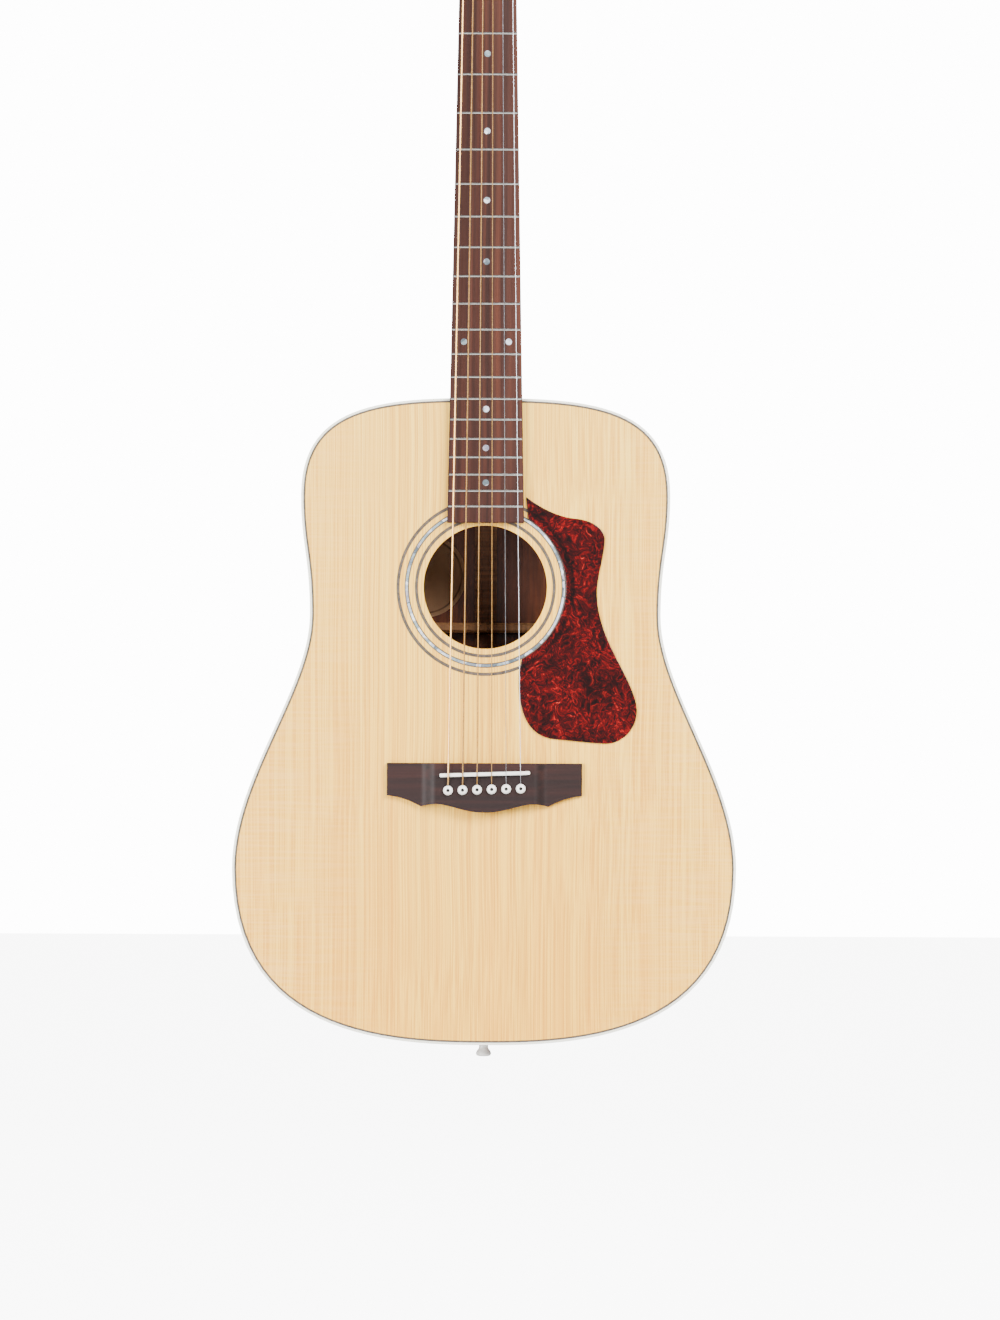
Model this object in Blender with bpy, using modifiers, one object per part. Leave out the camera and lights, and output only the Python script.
"""Steel-string acoustic guitar, built as separate pieces that share one frame.

Sizes are in millimetres and are turned into metres where a mesh is made.
x runs to the treble side, y runs to the back, z runs up the neck.
The origin is the centre of the nut line, on the plane of the soundboard.
"""
import math

import bmesh
import bpy
from mathutils import Matrix, Vector

MM = 0.001
GAP = 0.3
SEG = 9

# Scale and fingerboard
SCALE = 647.7
JOINT_FRET = 14
LAST_FRET = 20
NUT_W = 44.0
BOARD_TAPER = 0.0361
BOARD_LEN = SCALE * (1 - 2 ** (-LAST_FRET / 12)) + 12.8
BOARD_T = 6.0
CAMBER_R = 406.0
FRET_H = 1.0

# Body outline: half widths, their places below the neck end, and the handle lengths between them
TOP_Z = 1.3 - SCALE * (1 - 2 ** (-JOINT_FRET / 12))
UPPER_HALF = 145.2
UPPER_DOWN = 76.5
WAIST_HALF = 137.8
WAIST_DOWN = 171.5
LOWER_HALF = 197.7
LOWER_DOWN = 369.7
BODY_LEN = 508.0
UPPER = (UPPER_HALF, TOP_Z - UPPER_DOWN)
WAIST = (WAIST_HALF, TOP_Z - WAIST_DOWN)
LOWER = (LOWER_HALF, TOP_Z - LOWER_DOWN)
TAIL_Z = TOP_Z - BODY_LEN
HANDLES = ((78.6, 73.0), (39.6, 45.1), (58.1, 70.2), (136.0, 66.8))

# Body shell
TOP_T = 2.8
BACK_T = 2.8
SIDE_T = 2.3
DEPTH_NECK = 98.0
DEPTH_TAIL = 120.0
BACK_ARCH = 3.5
BACK_R = 4570.0
BIND_W = 2.0
BIND_D = 6.0
LINING_W = 6.0
LINING_D = 11.0
HOLE_Z = TOP_Z - 149.0
HOLE_R = 48.5

# Blocks and braces
NECK_BLOCK = (35.0, 52.0)
TAIL_BLOCK = (40.0, 20.0)
X_CENTRE_Z = HOLE_Z - HOLE_R - 24.5
X_ANGLE = 49.0
X_END_GAP = 4.0
X_SIZE = (8.0, 13.0)
PLATE_HALF_W = 60.0
PLATE_T = 2.6
BACK_BRACES = ((67.0, 8.0, 15.0), (177.5, 8.0, 15.0), (282.0, 20.0, 9.0), (402.0, 20.0, 9.0))

# Neck and headstock
NECK_D = 15.0
NECK_D_LOW = 18.0
HEEL_D = 92.0
HEEL_TIP_W = 24.0
HEAD_ANGLE = 14.0
HEAD_T = 14.0
HEAD_LEN = 184.0
HEAD_HALF_W = 37.0
VENEER_T = 1.5
NUT_T = 5.2
ROD_W = 5.4
ROD_D = 9.0
ROD_Z = (12.0, TOP_Z + 18.0)

# Bridge, saddle, pins
SADDLE_Z = -SCALE - 6.1
BRIDGE_TOP_Z = SADDLE_Z + 8.6
BRIDGE_T = 9.0
WING_T = 3.6
BRIDGE_FOOT = ((0.0, 38.7), (17.0, 36.8), (31.0, 33.0), (38.0, 32.1), (44.0, 33.2), (50.0, 34.0), (62.7, 27.9),
               (76.5, 25.4))
SADDLE_L = 70.8
SADDLE_T = 3.0
SADDLE_MID = (0.3, SADDLE_Z)
SADDLE_SLANT = 1.8
SADDLE_TOP = BRIDGE_T + 3.6
SLOT_FLOOR = 3.5
PIN_PITCH = 11.38
PIN_Z = SADDLE_Z - 12.0
PIN_SLANT = 1.6
PIN_R = 2.5
PIN_HEAD_R = 3.8
PIN_LEN = 24.0

# Strings
STRING_R = (0.67, 0.53, 0.41, 0.32, 0.21, 0.16)
NUT_SPREAD = NUT_W - 6.0
SADDLE_SPREAD = 56.4
NUT_ACTION = 0.45

# Tuners, measured from each post
POST_X = NUT_SPREAD / 2 + 4.0
POST_ROWS = (48.0, 90.0, 132.0)
POST_R = 3.0
POST_UP = 11.0
POST_HOLE_R = POST_R + 1.4
TEETH = 12
PITCH = 2.0
WORM_R = 2.2
WORM_TURNS = 2.5
WORM_STEPS = 10
ADDENDUM = 0.55
GEAR_T = 3.0
STRIP_W = 15.0
STRIP_T = 1.2
EAR_T = 1.5
SHAFT_R = 1.5
BUTTON_AT = HEAD_HALF_W - POST_X + 5.0

# Pickguard outline around the soundhole's centre: knots with the handle before and the handle after
GUARD_T = 1.0
GUARD_ARC_R = HOLE_R + 14.9
GUARD_TOP = 71.0
GUARD = (((70.0, 54.2), (-14.0, 1.0), (12.0, -0.8)), ((93.6, 37.0), (0.6, 10.0), (-0.4, -14.0)),
         ((87.7, -5.2), (-0.2, 14.0), (0.0, -36.0)), ((119.4, -96.0), (-1.5, 24.0), (0.2, -15.0)),
         ((95.0, -122.6), (13.0, 0.0), (-12.0, 0.2)), ((55.0, -119.3), (12.0, -1.0), (-20.0, 1.8)),
         ((26.6, -74.0), (0.0, -26.0), (0.0, 6.0)))

ENDPIN_Y = 58.0
ENDPIN_R = 4.0

for old in list(bpy.data.objects):
    bpy.data.objects.remove(old, do_unlink=True)

PARTS = bpy.data.collections.new("acoustic_guitar")
bpy.context.scene.collection.children.link(PARTS)
CUTTERS = bpy.data.collections.new("cutters")
bpy.context.scene.collection.children.link(CUTTERS)

LOOKS = {
    "spruce": ((0.72, 0.50, 0.26), 0.25, 0.0),
    "mahogany": ((0.22, 0.08, 0.04), 0.3, 0.0),
    "rosewood": ((0.09, 0.035, 0.025), 0.45, 0.0),
    "cream": ((0.80, 0.72, 0.52), 0.3, 0.0),
    "bone": ((0.86, 0.82, 0.70), 0.35, 0.0),
    "tortoise": ((0.16, 0.02, 0.015), 0.15, 0.0),
    "bronze": ((0.62, 0.38, 0.18), 0.35, 1.0),
    "steel": ((0.60, 0.60, 0.60), 0.3, 1.0),
    "chrome": ((0.70, 0.70, 0.72), 0.12, 1.0),
    "pearl": ((0.85, 0.83, 0.76), 0.2, 0.0),
}


def metres(point):
    return Vector(point) * MM


def paint(obj, look):
    colour, rough, metal = LOOKS[look]
    mat = bpy.data.materials.new(obj.name + "_" + look)
    mat.use_nodes = True
    shader = mat.node_tree.nodes["Principled BSDF"]
    shader.inputs["Base Color"].default_value = (*colour, 1.0)
    shader.inputs["Roughness"].default_value = rough
    shader.inputs["Metallic"].default_value = metal
    obj.data.materials.append(mat)


def finish(name, bm, look, origin=(0.0, 0.0, 0.0), cutter=False, closed=True):
    """Make an object of a mesh whose points are still in the guitar's frame."""
    if closed:
        bmesh.ops.recalc_face_normals(bm, faces=bm.faces)
    mesh = bpy.data.meshes.new(name)
    bmesh.ops.translate(bm, verts=bm.verts, vec=-metres(origin))
    bm.to_mesh(mesh)
    bm.free()
    obj = bpy.data.objects.new(name, mesh)
    obj.location = metres(origin)
    if cutter:
        obj.hide_render = True
        obj.display_type = "WIRE"
        CUTTERS.objects.link(obj)
    else:
        PARTS.objects.link(obj)
        paint(obj, look)
    return obj


def cut(obj, cutter):
    mod = obj.modifiers.new("cut_" + cutter.name, "BOOLEAN")
    mod.operation = "DIFFERENCE"
    mod.solver = "EXACT"
    mod.object = cutter
    return obj


def skin_rings(bm, rings, closed=False):
    """Join rings of points with quads and cap both ends unless the rings close on themselves."""
    loops = [[bm.verts.new(metres(p)) for p in ring] for ring in rings]
    pairs = list(zip(loops, loops[1:]))
    if closed:
        pairs.append((loops[-1], loops[0]))
    for a, b in pairs:
        for i in range(len(a)):
            j = (i + 1) % len(a)
            bm.faces.new((a[i], a[j], b[j], b[i]))
    if not closed:
        bm.faces.new(loops[0])
        bm.faces.new(loops[-1][::-1])
    return loops


def loft(name, rings, look, origin=(0.0, 0.0, 0.0), closed=False, cutter=False):
    bm = bmesh.new()
    skin_rings(bm, rings, closed)
    return finish(name, bm, look, origin, cutter)


def box(name, low, high, look, cutter=False):
    bm = bmesh.new()
    size = [b - a for a, b in zip(low, high)]
    middle = [(a + b) / 2 for a, b in zip(low, high)]
    bmesh.ops.create_cube(bm, size=1.0, matrix=Matrix.Translation(metres(middle)) @ Matrix.Diagonal((*metres(size), 1.0)))
    return finish(name, bm, look, cutter=cutter)


def aim(axis):
    """Rotation that turns +Z onto an axis."""
    return Vector((0.0, 0.0, 1.0)).rotation_difference(Vector(axis)).to_matrix().to_4x4()


def rod_cutter(name, centre, axis, radius, length, sides=16):
    bm = bmesh.new()
    bmesh.ops.create_cone(bm, cap_ends=True, segments=sides, radius1=radius * MM, radius2=radius * MM,
                          depth=length * MM, matrix=Matrix.Translation(metres(centre)) @ aim(axis))
    return finish(name, bm, "steel", cutter=True)


def turned(name, centre, axis, profile, sides, look):
    """Screw a profile of (radius, height along the axis) points, listed from top to bottom."""
    mesh = bpy.data.meshes.new(name)
    points = [metres((r, 0.0, h)) for r, h in profile]
    mesh.from_pydata(points, [(i, i + 1) for i in range(len(points) - 1)], [])
    obj = bpy.data.objects.new(name, mesh)
    obj.matrix_world = Matrix.Translation(metres(centre)) @ aim(axis)
    PARTS.objects.link(obj)
    paint(obj, look)
    screw = obj.modifiers.new("turn", "SCREW")
    screw.axis = "Z"
    screw.steps = sides
    screw.render_steps = sides
    screw.use_merge_vertices = True
    screw.merge_threshold = 0.00001
    screw.use_smooth_shade = True
    return obj


def plate(name, outline, thick, look, place, holes=()):
    """Flat outline of (x, y) points, less round holes, as a filled 2D curve set on its place matrix."""
    curve = bpy.data.curves.new(name, "CURVE")
    curve.dimensions = "2D"
    curve.fill_mode = "BOTH"
    curve.extrude = thick / 2 * MM
    rings = [outline]
    for x, y, radius, sides in holes:
        turns = (2 * math.pi * i / sides for i in range(sides))
        rings.append([(x + radius * math.cos(a), y + radius * math.sin(a)) for a in turns])
    for ring in rings:
        line = curve.splines.new("POLY")
        line.points.add(len(ring) - 1)
        line.use_cyclic_u = True
        for point, (x, y) in zip(line.points, ring):
            point.co = (x * MM, y * MM, 0.0, 1.0)
    obj = mesh_from_curve(name, curve)
    obj.matrix_world = place
    paint(obj, look)
    return obj


def mesh_from_curve(name, curve):
    """Turn a curve into a welded mesh object, so that it can be cut."""
    holder = bpy.data.objects.new(name + "_curve", curve)
    PARTS.objects.link(holder)
    bpy.context.view_layer.update()
    mesh = bpy.data.meshes.new_from_object(holder.evaluated_get(bpy.context.evaluated_depsgraph_get()))
    bm = bmesh.new()
    bm.from_mesh(mesh)
    bmesh.ops.remove_doubles(bm, verts=bm.verts, dist=0.000001)
    bmesh.ops.recalc_face_normals(bm, faces=bm.faces)
    bm.to_mesh(mesh)
    bm.free()
    mesh.name = name
    obj = bpy.data.objects.new(name, mesh)
    obj.matrix_world = holder.matrix_world
    PARTS.objects.link(obj)
    bpy.data.objects.remove(holder, do_unlink=True)
    return obj


def facing_front(depth):
    """Plane whose x and y are the guitar's x and z, at a depth behind the soundboard's face."""
    return Matrix.Translation(metres((0.0, depth, 0.0))) @ Matrix.Rotation(math.pi / 2, 4, "X")


# Outline of the body


def bezier(a, b, c, d, t):
    s = 1.0 - t
    return tuple(s ** 3 * a[k] + 3 * s * s * t * b[k] + 3 * s * t * t * c[k] + t ** 3 * d[k] for k in range(len(a)))


def half_outline(inset=0.0, per=SEG):
    """Treble half of the body outline from the neck to the tail, moved in by inset."""
    (h0, h1), (h2, h3), (h4, h5), (h6, h7) = HANDLES
    top = (0.0, TOP_Z)
    tail = (0.0, TAIL_Z)
    spans = ((top, (h0, TOP_Z), (UPPER[0], UPPER[1] + h1), UPPER),
             (UPPER, (UPPER[0], UPPER[1] - h2), (WAIST[0], WAIST[1] + h3), WAIST),
             (WAIST, (WAIST[0], WAIST[1] - h4), (LOWER[0], LOWER[1] + h5), LOWER),
             (LOWER, (LOWER[0], LOWER[1] - h6), (h7, TAIL_Z), tail))
    points = []
    for index, (a, b, c, d) in enumerate(spans):
        count = per + 3 if index in (0, 3) else per
        for i in range(count):
            t = i / count
            x, z = bezier(a, b, c, d, t)
            x2, z2 = bezier(a, b, c, d, t + 0.001)
            length = math.hypot(x2 - x, z2 - z)
            points.append((x + (z2 - z) / length * inset, z - (x2 - x) / length * inset))
    points[0] = (0.0, TOP_Z - inset)
    points.append((0.0, TAIL_Z + inset))
    return points


def full_outline(inset=0.0):
    right = half_outline(inset)
    return right + [(-x, z) for x, z in right[-2:0:-1]]


def half_width(z, inset=0.0):
    points = half_outline(inset, 40)
    for (xa, za), (xb, zb) in zip(points, points[1:]):
        if za >= z >= zb and za > zb:
            return xa + (xb - xa) * (za - z) / (za - zb)
    return 0.0


def back_y(x, z):
    """Outside of the domed back: deeper at the tail, arched both ways."""
    t = (TOP_Z - z) / (TOP_Z - TAIL_Z)
    return DEPTH_NECK + (DEPTH_TAIL - DEPTH_NECK) * t + 4 * BACK_ARCH * t * (1 - t) - x * x / (2 * BACK_R)


def sheet_y(x, z):
    """Outside of the back as it is faceted, in four strips across."""
    half = half_width(z, BIND_W + GAP)
    step = half / 2
    k = min(max(math.floor(x / step), -2), 1)
    low, high = back_y(k * step, z), back_y((k + 1) * step, z)
    return low + (high - low) * (x - k * step) / step


# Body shell


def make_soundboard():
    holes = [(0.0, HOLE_Z, HOLE_R, 48)] + pin_holes()
    plate("soundboard", full_outline(BIND_W + GAP), TOP_T, "spruce", facing_front(TOP_T / 2), holes)


def make_back():
    """Domed sheet from rows across the outline, thickened inwards."""
    right = half_outline(BIND_W + GAP)
    rows = [[(f * x, back_y(f * x, z), z) for f in (-1.0, -0.5, 0.0, 0.5, 1.0)] for x, z in right[1:-1]]
    bm = bmesh.new()
    grid = [[bm.verts.new(metres(p)) for p in row] for row in rows]
    ends = [bm.verts.new(metres((0.0, back_y(*p), p[1]))) for p in (right[0], right[-1])]
    for a, b in zip(grid, grid[1:]):
        for i in range(4):
            bm.faces.new((a[i], a[i + 1], b[i + 1], b[i]))
    for i in range(4):
        bm.faces.new((ends[0], grid[0][i + 1], grid[0][i]))
        bm.faces.new((ends[1], grid[-1][i], grid[-1][i + 1]))
    sheet = finish("back", bm, "mahogany", closed=False)
    thicken(sheet, BACK_T)


def thicken(obj, thick):
    solid = obj.modifiers.new("wall", "SOLIDIFY")
    solid.thickness = thick * MM
    solid.offset = -1.0
    solid.use_even_offset = True


def rim_band(name, places, y_low, y_high, thick, look, hoop):
    """Band standing on the rim between two depths, thickened towards the inside of the body."""
    bm = bmesh.new()
    pairs = [[bm.verts.new(metres((x, y(x, z), z))) for y in (y_low, y_high)] for x, z in places]
    joins = list(zip(pairs, pairs[1:]))
    if hoop:
        joins.append((pairs[-1], pairs[0]))
    for a, b in joins:
        bm.faces.new((a[0], b[0], b[1], a[1]))
    band = finish(name, bm, look, closed=False)
    thicken(band, thick)
    return band


def rim_hoop(name, inset, y_low, y_high, thick, look):
    return rim_band(name, full_outline(inset), y_low, y_high, thick, look, True)


def rim_strip(name, sign, inset, y_low, y_high, thick, ends, look):
    """Band along one half of the rim, stopping at the two end widths."""
    start, stop = ends
    points = half_outline(inset)
    mid = len(points) // 2
    kept = [p for i, p in enumerate(points) if p[0] > (start if i < mid else stop) + 2.0]
    kept = [(start, half_z(start, inset, True))] + kept + [(stop, half_z(stop, inset, False))]
    places = kept if sign > 0 else [(-x, z) for x, z in kept[::-1]]
    return rim_band(name, places, y_low, y_high, thick, look, False)


def half_z(x, inset, upper):
    """Height of the outline at a given x, near the neck or near the tail."""
    points = half_outline(inset)
    if not upper:
        points = points[::-1]
    for (xa, za), (xb, zb) in zip(points, points[1:]):
        if xa <= x <= xb and xb > xa:
            return za + (zb - za) * (x - xa) / (xb - xa)
    return points[0][1]


def make_shell():
    rim_hoop("top_binding", 0.0, lambda x, z: 0.0, lambda x, z: BIND_D, BIND_W, "cream")
    rim_hoop("back_binding", 0.0, lambda x, z: back_y(x, z) - BIND_D, back_y, BIND_W, "cream")
    hole = rod_cutter("endpin_cut", (0, ENDPIN_Y, TAIL_Z + 10), (0, 0, 1), ENDPIN_R + GAP, 60)
    for side, sign in (("bass", -1), ("treble", 1)):
        wall = rim_strip("side_" + side, sign, 0.0, lambda x, z: BIND_D + GAP,
                         lambda x, z: back_y(x, z) - BIND_D - GAP, SIDE_T, (GAP / 2, GAP / 2), "mahogany")
        cut(wall, hole)
        ends = (NECK_BLOCK[0] + 4 * GAP, TAIL_BLOCK[0] + 4 * GAP)
        inner = SIDE_T + GAP
        rim_strip("top_lining_" + side, sign, inner, lambda x, z: TOP_T + GAP,
                  lambda x, z: TOP_T + GAP + LINING_D, LINING_W, ends, "mahogany")
        rim_strip("back_lining_" + side, sign, inner, lambda x, z: back_y(x, z) - BACK_T - GAP - LINING_D,
                  lambda x, z: back_y(x, z) - BACK_T - GAP, LINING_W, ends, "mahogany")
    return hole


def make_block(name, half, z_out, z_in, look):
    rings = []
    for x in (-half, 0.0, half):
        rings.append([(x, TOP_T + GAP, z_out), (x, TOP_T + GAP, z_in),
                      (x, back_y(x, z_in) - BACK_T - 2 * GAP, z_in),
                      (x, back_y(x, z_out) - BACK_T - 2 * GAP, z_out)])
    return loft(name, rings, look)


def make_inside(endpin_cut):
    inset = SIDE_T + GAP
    z_top = half_z(NECK_BLOCK[0], inset, True)
    make_block("neck_block", NECK_BLOCK[0], z_top, z_top - NECK_BLOCK[1], "mahogany")
    z_tail = half_z(TAIL_BLOCK[0], inset, False)
    block = make_block("tail_block", TAIL_BLOCK[0], z_tail, z_tail + TAIL_BLOCK[1], "mahogany")
    cut(block, endpin_cut)
    for i, (down, wide, tall) in enumerate(BACK_BRACES):
        z = TOP_Z - down
        clear = inset + LINING_W + 2 * GAP
        reach = min(half_width(z + wide / 2, clear), half_width(z - wide / 2, clear)) - 0.8
        column = min(half_width(z - wide / 2, BIND_W + GAP), half_width(z + wide / 2, BIND_W + GAP)) / 2
        rings = []
        for x in (-reach, -0.92 * reach, -column, 0.0, column, 0.92 * reach, reach):
            height = tall if abs(x) < 0.95 * reach else tall * 0.35
            foot = [min(sheet_y(x, zz), back_y(x, zz)) - BACK_T - GAP for zz in (z - wide / 2, z + wide / 2)]
            rings.append([(x, foot[0], z - wide / 2), (x, foot[0] - height + 2.0, z - wide / 2),
                          (x, foot[0] - height, z - wide / 4), (x, foot[1] - height, z + wide / 4),
                          (x, foot[1] - height + 2.0, z + wide / 2), (x, foot[1], z + wide / 2)])
        loft("back_brace_" + str(i + 1), rings, "spruce")
    low, high = PIN_Z - 22.0, PIN_Z + 24.0
    outline = [(-PLATE_HALF_W - 6.0, low), (PLATE_HALF_W + 6.0, low), (PLATE_HALF_W, high), (-PLATE_HALF_W, high)]
    plate("bridge_plate", outline, PLATE_T, "rosewood", facing_front(TOP_T + GAP + PLATE_T / 2), pin_holes())
    make_x_brace()


def leg_reach(dx, dz):
    """Length of a brace leg from the crossing to just short of the lining."""
    clear = SIDE_T + GAP + LINING_W + X_END_GAP
    reach = 20.0
    while half_width(X_CENTRE_Z + dz * reach, clear) > dx * reach + X_SIZE[0] / 2:
        reach += 1.0
    return reach


def make_x_brace():
    """Two crossing bars lapped into one piece."""
    half = X_SIZE[0] / 2
    ang = math.radians(X_ANGLE)
    up = leg_reach(math.sin(ang), math.cos(ang))
    down = leg_reach(math.sin(ang), -math.cos(ang))
    arms = []
    for sx, sz, reach in ((1, 1, up), (1, -1, down), (-1, -1, down), (-1, 1, up)):
        arms.append((Vector((sx * math.sin(ang), sz * math.cos(ang))), reach))
    points = []
    for i, (d, reach) in enumerate(arms):
        right = Vector((-d[1], d[0]))
        previous = arms[i - 1][0]
        lean = (d + previous).normalized()
        corner = lean * (half / abs(lean.dot(right)))
        points.append(corner)
        sign = 1.0 if right.dot(previous) > 0 else -1.0
        points.append(d * reach + right * half * sign)
        points.append(d * reach - right * half * sign)
    outline = [(p[0], X_CENTRE_Z + p[1]) for p in points]
    return plate("x_brace", outline, X_SIZE[1], "spruce", facing_front(TOP_T + GAP + X_SIZE[1] / 2))


# Neck


def board_half(z):
    return NUT_W / 2 + BOARD_TAPER / 2 * -z


def camber(x):
    return x * x / (2 * CAMBER_R)


def make_fretboard():
    rings = []
    for z in (-GAP, -BOARD_LEN):
        half = board_half(z)
        ring = [(-half, -GAP, z), (half, -GAP, z)]
        for f in (1.0, 0.6, 0.2, -0.2, -0.6, -1.0):
            x = f * half
            ring.append((x, -GAP - BOARD_T + camber(x), z))
        rings.append(ring)
    return loft("fretboard", rings, "rosewood")


def head_point(x, s, n):
    """Point on the tilted headstock: s runs up it, n runs to its back."""
    a = math.radians(HEAD_ANGLE)
    return (x, s * math.sin(a) + n * math.cos(a), NUT_T + GAP + s * math.cos(a) - n * math.sin(a))


def neck_section(half, depth, square, narrow=0.0):
    """Half-round section that turns square: (x, depth) pairs, front corners first and last."""
    flat = ((-1, 0), (-1, 0.5), (-1, 1), (-0.5, 1), (0, 1), (0.5, 1), (1, 1), (1, 0.5), (1, 0))
    points = []
    for i, (fx, fy) in enumerate(flat):
        a = math.pi * (1 - i / 8)
        rx = math.copysign(abs(math.cos(a)) ** 0.8, math.cos(a)) if i != 4 else 0.0
        ry = math.sin(a) ** 0.9 if 0 < i < 8 else 0.0
        x = half * (rx * (1 - square) + fx * square)
        y = depth * (ry * (1 - square) + fy * square)
        points.append((x * (1 - narrow * y / max(depth, 1)), y))
    return points


def make_neck():
    rings = []
    low = TOP_Z + GAP
    heel = ((low, HEEL_D, 0.55), (low + 5, HEEL_D - 2.5, 0.55), (low + 14, 68.0, 0.5), (low + 24, 45.0, 0.36),
            (low + 36, 29.0, 0.18), (low + 52, 20.5, 0.06))
    for z, depth, square in heel:
        half = board_half(z)
        narrow = 1 - (HEEL_TIP_W / 2) / half
        narrow *= (depth - NECK_D_LOW) / (HEEL_D - NECK_D_LOW)
        rings.append([(x, y, z) for x, y in neck_section(half, depth, square, narrow)])
    for z, depth in ((low + 75, NECK_D_LOW), (-140.0, (NECK_D + NECK_D_LOW) / 2), (-18.0, NECK_D)):
        rings.append([(x, y, z) for x, y in neck_section(board_half(z), depth, 0.0)])
    rings.append([(x, y, -3.0 - y * 0.08) for x, y in neck_section(NUT_W / 2, NECK_D + 1.5, 0.1)])
    head = ((1.0, NUT_W / 2, HEAD_T + 3.0, 0.4), (12.0, NUT_W / 2 + 2.5, HEAD_T + 1.5, 0.85),
            (20.0, NUT_W / 2 + 9.0, HEAD_T, 1.0), (27.0, HEAD_HALF_W - 3.0, HEAD_T, 1.0),
            (100.0, HEAD_HALF_W - 1.5, HEAD_T, 1.0), (HEAD_LEN - 6, HEAD_HALF_W, HEAD_T, 1.0),
            (HEAD_LEN, HEAD_HALF_W - 5.0, HEAD_T, 1.0))
    for s, half, depth, square in head:
        rings.append([head_point(x, s, n) for x, n in neck_section(half, depth, square)])
    neck = loft("neck", rings, "mahogany")
    groove = box("rod_groove", (-ROD_W / 2 - GAP, -10.0, ROD_Z[1] - GAP),
                 (ROD_W / 2 + GAP, ROD_D + GAP, ROD_Z[0] + GAP), "steel", cutter=True)
    cut(neck, groove)
    edge = [(half, s) for s, half, _, _ in ((GAP, NUT_W / 2, 0, 0),) + head[1:]]
    veneer = plate("headstock_overlay", edge + [(-x, s) for x, s in edge[::-1]], VENEER_T, "rosewood",
                   head_matrix(0.0, -GAP - VENEER_T / 2))
    pocket = box("rod_pocket", (-4.5, -6.0, NUT_T - 2.0), (4.5, 8.0, ROD_Z[0] + 8.0), "steel", cutter=True)
    cut(veneer, pocket)
    for row, s in enumerate(POST_ROWS):
        for sign in (-1, 1):
            hole = rod_cutter("post_cut_%d_%d" % (row, sign + 1), head_point(sign * POST_X, s, HEAD_T / 2),
                              head_axis(), POST_HOLE_R, HEAD_T * 3, 14)
            cut(neck, hole)
            cut(veneer, hole)
    return neck


def head_axis():
    """Unit vector out of the front of the headstock."""
    a = math.radians(HEAD_ANGLE)
    return (0.0, -math.cos(a), math.sin(a))


def head_up():
    a = math.radians(HEAD_ANGLE)
    return (0.0, math.sin(a), math.cos(a))


def head_matrix(s, n):
    """Plane of the headstock: local x is x, local y runs up it and local z comes out of its front."""
    x = Vector((1.0, 0.0, 0.0))
    columns = Matrix((x, Vector(head_up()), Vector(head_axis()))).transposed().to_4x4()
    return Matrix.Translation(metres(head_point(0.0, s, n))) @ columns


def make_truss_rod():
    box("truss_rod", (-ROD_W / 2, 0.0, ROD_Z[1]), (ROD_W / 2, ROD_D, ROD_Z[0] - 2.0), "steel")


def make_nut():
    top = GAP + BOARD_T + FRET_H + NUT_ACTION - 0.25
    outline = [(-NUT_W / 2, GAP), (NUT_W / 2, GAP)]
    outline += [(f * NUT_W / 2, top - camber(f * NUT_W / 2)) for f in (1.0, 0.5, 0.0, -0.5, -1.0)]
    place = Matrix.Translation(metres((0.0, 0.0, (NUT_T - GAP * 2) / 2)))
    plate("nut", [(x, -y) for x, y in outline], NUT_T - GAP * 2, "bone", place)


# Bridge


def pin_place(i):
    k = i - 2.5
    return (k * PIN_PITCH, PIN_Z + PIN_SLANT * k / 5)


def pin_holes():
    """Round holes for the pins, as (x, z, radius, sides)."""
    return [(*pin_place(i), PIN_R + GAP + 0.1, 12) for i in range(6)]


def make_bridge():
    stations = [(-x, foot) for x, foot in BRIDGE_FOOT[:0:-1]] + list(BRIDGE_FOOT)
    rings = []
    for x, foot in stations:
        z = BRIDGE_TOP_Z - foot
        reach = abs(x)
        if reach <= 38.0:
            thick = BRIDGE_T
        elif reach < 50.0:
            thick = WING_T + (BRIDGE_T - WING_T) * (0.5 + 0.5 * math.cos(math.pi * (reach - 38.0) / 12.0))
        else:
            thick = WING_T - 0.6 * (reach - 50.0) / 26.5
        soft = min(1.5, thick * 0.4)
        rings.append([(x, -GAP, BRIDGE_TOP_Z), (x, -GAP - thick + soft, BRIDGE_TOP_Z),
                      (x, -GAP - thick, BRIDGE_TOP_Z - soft), (x, -GAP - thick, z + soft),
                      (x, -GAP - thick + soft, z), (x, -GAP, z)])
    bridge = loft("bridge", rings, "rosewood")
    slot = saddle_bar("saddle_slot", SADDLE_L + 2 * GAP, SADDLE_T + 2 * GAP, SLOT_FLOOR, 30.0, 0.0, cutter=True)
    cut(bridge, slot)
    for i, (x, z, radius, sides) in enumerate(pin_holes()):
        cut(bridge, rod_cutter("pin_cut_%d" % (i + 1), (x, 0.0, z), (0, 1, 0), radius, 40.0, sides))
    saddle_bar("saddle", SADDLE_L, SADDLE_T, SLOT_FLOOR + GAP, SADDLE_TOP, 1.0)


def saddle_bar(name, length, thick, low, high, bow, cutter=False):
    angle = math.radians(SADDLE_SLANT)
    cx, cz = SADDLE_MID
    rings = []
    for f in (-1.0, -0.5, 0.0, 0.5, 1.0):
        u = f * length / 2
        top = -(GAP + high) + bow * camber(u)
        ring = []
        for v, y in ((-1, -GAP - low), (-1, top), (1, top), (1, -GAP - low)):
            w = v * thick / 2
            ring.append((cx + u * math.cos(angle) - w * math.sin(angle), y,
                         cz + u * math.sin(angle) + w * math.cos(angle)))
        rings.append(ring)
    return loft(name, rings, "bone", cutter=cutter)


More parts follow.
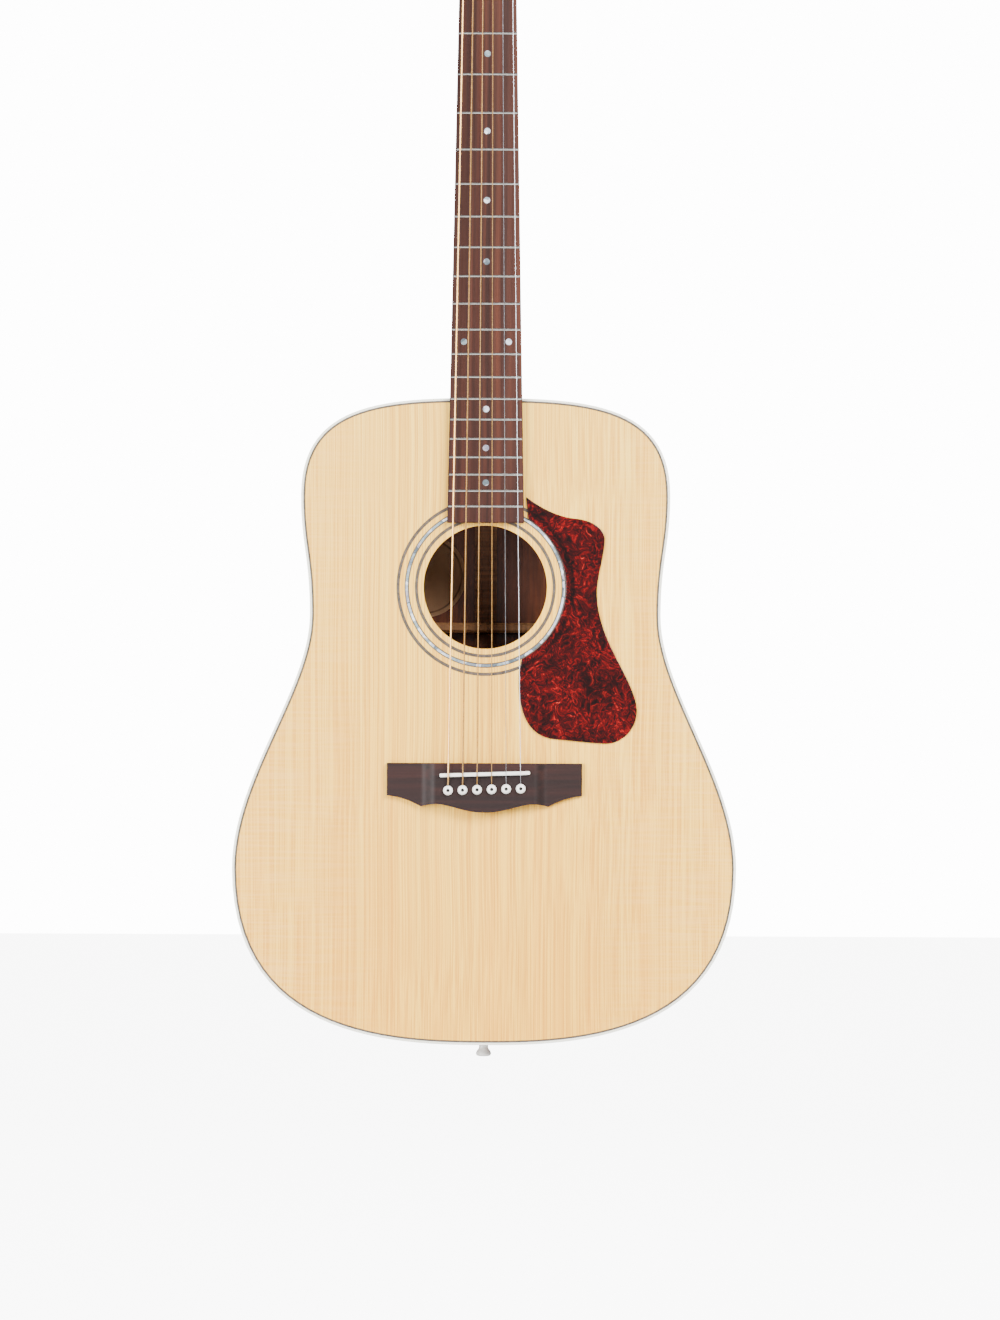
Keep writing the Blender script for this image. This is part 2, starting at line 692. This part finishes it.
def make_pins():
    for i in range(6):
        x, z = pin_place(i)
        seat = -GAP - BRIDGE_T - GAP
        head = PIN_HEAD_R
        profile = ((0.0, 3.0), (head - 2.0, 3.0), (head - 0.4, 2.2), (head, 1.0), (head - 0.5, 0.0),
                   (PIN_R, 0.0), (PIN_R - 0.6, -PIN_LEN), (0.0, -PIN_LEN))
        turned("bridge_pin_%d" % (i + 1), (x, seat, z), (0, -1, 0), profile, 10, "bone")


def make_pickguard():
    """Teardrop with a bite around the rings, starting beside the fingerboard."""
    top = HOLE_Z + GUARD_TOP
    beside = board_half(top) + 2.0
    knots = [((beside, top), None, (8.0, -6.5))]
    knots += [((x, HOLE_Z + z), into, out) for (x, z), into, out in GUARD]
    stop = math.acos((board_half(HOLE_Z + GUARD_ARC_R) + 1.5) / GUARD_ARC_R)
    start = -math.radians(62.95)
    knots.append(((GUARD_ARC_R * math.cos(start), HOLE_Z + GUARD_ARC_R * math.sin(start)), (-0.9, -5.0), None))
    points = []
    for (a, _, out), (b, into, _) in zip(knots, knots[1:]):
        c1 = (a[0] + out[0], a[1] + out[1])
        c2 = (b[0] + into[0], b[1] + into[1])
        count = 6 if math.dist(a, b) > 25 else 3
        points += [bezier(a, c1, c2, b, i / count) for i in range(count)]
    for i in range(15):
        a = start + (stop - start) * i / 14
        points.append((GUARD_ARC_R * math.cos(a), HOLE_Z + GUARD_ARC_R * math.sin(a)))
    plate("pickguard", points, GUARD_T, "tortoise", facing_front(-GAP - GUARD_T / 2))


def make_endpin():
    profile = ((0.0, 12.5), (4.6, 12.5), (6.0, 11.0), (5.6, 8.0), (3.6, 6.5), (3.8, 2.4), (6.6, 1.6), (6.6, 0.0),
               (ENDPIN_R, 0.0), (ENDPIN_R - 0.7, -16.0), (0.0, -16.0))
    turned("endpin", (0.0, ENDPIN_Y, TAIL_Z - GAP), (0, 0, -1), profile, 16, "bone")


# Strings


def make_strings():
    for i, radius in enumerate(STRING_R):
        k = (i - 2.5) / 2.5
        xn = k * NUT_SPREAD / 2
        xs = k * SADDLE_SPREAD / 2
        nut_y = -(GAP + BOARD_T + FRET_H + NUT_ACTION + radius) + camber(xn)
        saddle_z = SADDLE_MID[1] + math.tan(math.radians(SADDLE_SLANT)) * (xs - SADDLE_MID[0])
        saddle_y = -(GAP + SADDLE_TOP + 0.2 + radius) + camber(xs)
        xp, zp = pin_place(i)
        sign = -1 if i < 3 else 1
        row = i if i < 3 else 5 - i
        post = head_point(sign * (POST_X - POST_R - GAP - radius), POST_ROWS[row], -GAP - VENEER_T - 6.5)
        path = [post, (xn, nut_y, NUT_T - 1.5), (xn, nut_y, 0.0), (xs, saddle_y, saddle_z + 1.8),
                (xs, saddle_y, saddle_z - 1.8),
                (xp, -GAP - BRIDGE_T - GAP - radius - 0.1, zp + PIN_HEAD_R + GAP + 0.1)]
        curve = bpy.data.curves.new("string_%d" % (i + 1), "CURVE")
        curve.dimensions = "3D"
        curve.bevel_depth = radius * MM
        curve.bevel_resolution = 2
        curve.use_fill_caps = True
        line = curve.splines.new("POLY")
        line.points.add(len(path) - 1)
        for point, place in zip(line.points, path):
            point.co = (*metres(place), 1.0)
        wire = mesh_from_curve("string_%d" % (i + 1), curve)
        paint(wire, "bronze" if i < 4 else "steel")


# Tuners


GEAR_R = TEETH * PITCH / (2 * math.pi)
STRIP_N = HEAD_T + GAP
GEAR_N = STRIP_N + STRIP_T + WORM_R + ADDENDUM + GAP
LEAN = PITCH / (2 * math.pi * WORM_R)


def tuner_frame(number):
    """Post centre on the headstock, its side and its row."""
    side = -1 if number <= 3 else 1
    row = number - 1 if number <= 3 else 6 - number
    return side, POST_ROWS[row]


def make_post(number):
    """Gear with slightly twisted teeth, joined to the post that winds the string."""
    side, s = tuner_frame(number)
    x = side * POST_X
    step = 2 * math.pi / TEETH
    root = GEAR_R - ADDENDUM - 0.25
    tip = GEAR_R + ADDENDUM
    rings = []
    for end in (-1, 1):
        n = GEAR_N + end * GEAR_T / 2
        turn = -end * LEAN * GEAR_T / 2 / GEAR_R
        ring = []
        for j in range(TEETH):
            for radius, width in ((root, -1.0), (tip, -0.44), (tip, 0.44), (root, 1.0)):
                a = (j + 0.5) * step + turn + width / 2 / radius
                ring.append(head_point(x + radius * math.sin(a), s - radius * math.cos(a), n))
        rings.append(ring)
    centre = head_point(x, s, GEAR_N)
    gear = loft("tuner_%d_post" % number, rings, "chrome", origin=centre)
    top = GEAR_N + GAP + VENEER_T + POST_UP
    full = POST_R - 0.15
    profile = ((0.0, top), (full - 0.7, top), (full, top - 0.6), (full, top - 2.5), (full - 0.6, top - 4.5),
               (full, top - 6.5), (full, GEAR_T / 2 - 0.3), (0.0, GEAR_T / 2 - 0.3))
    stem = turned("post_stem_%d" % number, centre, head_axis(), profile, 12, "chrome")
    as_cutter(stem)
    join = gear.modifiers.new("join", "BOOLEAN")
    join.operation = "UNION"
    join.solver = "EXACT"
    join.object = stem


def as_cutter(obj):
    obj.hide_render = True
    obj.display_type = "WIRE"
    PARTS.objects.unlink(obj)
    CUTTERS.objects.link(obj)


def make_worm(number):
    """Shaft with a one-start thread, running out to the side of the headstock."""
    side, s = tuner_frame(number)
    x = side * POST_X
    s_worm = s - GEAR_R - WORM_R
    bm = bmesh.new()
    steps = WORM_STEPS
    count = int(steps * WORM_TURNS)
    start = -(WORM_TURNS + 1) * PITCH / 2
    first = round(start / PITCH * steps)
    profile = ((-0.5, WORM_R - ADDENDUM - 0.2), (-0.235, WORM_R - ADDENDUM - 0.2), (-0.11, WORM_R + ADDENDUM),
               (0.11, WORM_R + ADDENDUM), (0.235, WORM_R - ADDENDUM - 0.2))

    def vert(dx, angle, radius):
        up = math.cos(angle) * radius
        out = math.sin(angle) * radius
        return bm.verts.new(metres(head_point(x + dx, s_worm + up, GEAR_N - out)))

    rows = []
    for i in range(count + steps + 1):
        angle = 2 * math.pi * (first + i) / steps
        along = (first + i) / steps * PITCH
        row = [vert(along + profile[0][0] * PITCH, angle, profile[0][1])]
        if i <= count:
            row += [vert(along + f * PITCH, angle, r) for f, r in profile[1:]]
        rows.append(row)

    def at(i, k):
        return rows[i][k] if k < 5 else rows[i + steps][0]

    for i in range(count):
        for k in range(5):
            bm.faces.new((at(i, k), at(i + 1, k), at(i + 1, k + 1), at(i, k + 1)))

    def shaft(places, loop_start):
        rings = []
        for dx, radius in places:
            rings.append([vert(dx, 2 * math.pi * (first + loop_start + i) / steps, radius) for i in range(steps)])
        for a, b in zip(rings, rings[1:]):
            for i in range(steps):
                j = (i + 1) % steps
                bm.faces.new((a[i], a[j], b[j], b[i]))
        bm.faces.new(rings[-1])
        return rings[0]

    out_end = BUTTON_AT - GAP
    in_end = STRIP_W / 2 + 0.4
    left, right = (out_end, in_end) if side < 0 else (in_end, out_end)
    edge = (WORM_TURNS + 1) * PITCH / 2 + 0.9
    low_ring = shaft(((-edge, SHAFT_R + 0.1), (-edge - 0.1, SHAFT_R), (-left, SHAFT_R)), 0)
    high_ring = shaft(((edge, SHAFT_R + 0.1), (edge + 0.1, SHAFT_R), (right, SHAFT_R)), count)
    for i in range(steps):
        j = (i + 1) % steps
        bm.faces.new((rows[i][0], rows[i + 1][0], low_ring[j], low_ring[i]))
        a, b = rows[count + i][0], rows[count + i + 1][0]
        bm.faces.new((a, b, high_ring[j], high_ring[i]))
    bm.faces.new([at(0, k) for k in range(6)] + [low_ring[0]])
    bm.faces.new([at(count, k) for k in range(6)] + [high_ring[0]])
    finish("tuner_%d_shaft" % number, bm, "chrome", origin=head_point(x, s_worm, GEAR_N))


def make_button(number):
    side, s = tuner_frame(number)
    x = side * POST_X
    s_worm = s - GEAR_R - WORM_R
    rings = []
    for dx, wide, thick in ((0.0, 2.6, 2.4), (2.5, 3.0, 2.6), (4.5, 7.6, 3.2), (9.0, 9.4, 3.6), (13.5, 7.6, 3.1),
                            (15.6, 3.2, 1.6)):
        ring = []
        for i in range(12):
            a = 2 * math.pi * i / 12
            ring.append(head_point(x + side * (BUTTON_AT + dx), s_worm + wide * math.cos(a),
                                   GEAR_N + thick * math.sin(a)))
        rings.append(ring)
    loft("tuner_%d_button" % number, rings, "chrome", origin=head_point(x, s_worm, GEAR_N))


def head_box(name, low, high, cutter=False):
    """Box set square to the headstock: x across, y up it, z out of its front."""
    obj = box(name, low, high, "chrome", cutter=cutter)
    obj.matrix_world = head_matrix(0.0, 0.0) @ obj.matrix_world
    return obj


def make_strips():
    """One long plate for each side, with two ears beside every worm."""
    for side, label in ((-1, "bass"), (1, "treble")):
        x = side * POST_X
        half = STRIP_W / 2
        strip = head_box("tuner_plate_" + label, (x - half, POST_ROWS[0] - 16.0, -STRIP_N - STRIP_T),
                         (x + half, POST_ROWS[2] + 12.0, -STRIP_N))
        for row, s in enumerate(POST_ROWS):
            s_worm = s - GEAR_R - WORM_R
            tag = "_%s_%d" % (label, row)
            for end in (-1, 1):
                edge = x + end * (half - EAR_T / 2)
                ear = head_box("ear%s_%d" % (tag, end + 1),
                               (edge - EAR_T / 2, s_worm - 2.6, -GEAR_N - 2.6),
                               (edge + EAR_T / 2, s_worm + 2.6, -STRIP_N - STRIP_T / 2), cutter=True)
                join = strip.modifiers.new("join_" + ear.name, "BOOLEAN")
                join.operation = "UNION"
                join.solver = "EXACT"
                join.object = ear
            cut(strip, rod_cutter("shaft_bore" + tag, head_point(x, s_worm, GEAR_N), (1, 0, 0),
                                  SHAFT_R + GAP, STRIP_W * 2, 12))
            cut(strip, rod_cutter("post_bore" + tag, head_point(x, s, STRIP_N), head_axis(),
                                  POST_R + GAP, 5.0, 14))


endpin_cut = make_shell()
make_soundboard()
make_back()
make_inside(endpin_cut)
make_neck()
make_truss_rod()
make_fretboard()
make_nut()
make_bridge()
make_pins()
make_pickguard()
make_endpin()
make_strings()
make_strips()
for tuner in range(1, 7):
    make_post(tuner)
    make_worm(tuner)
    make_button(tuner)
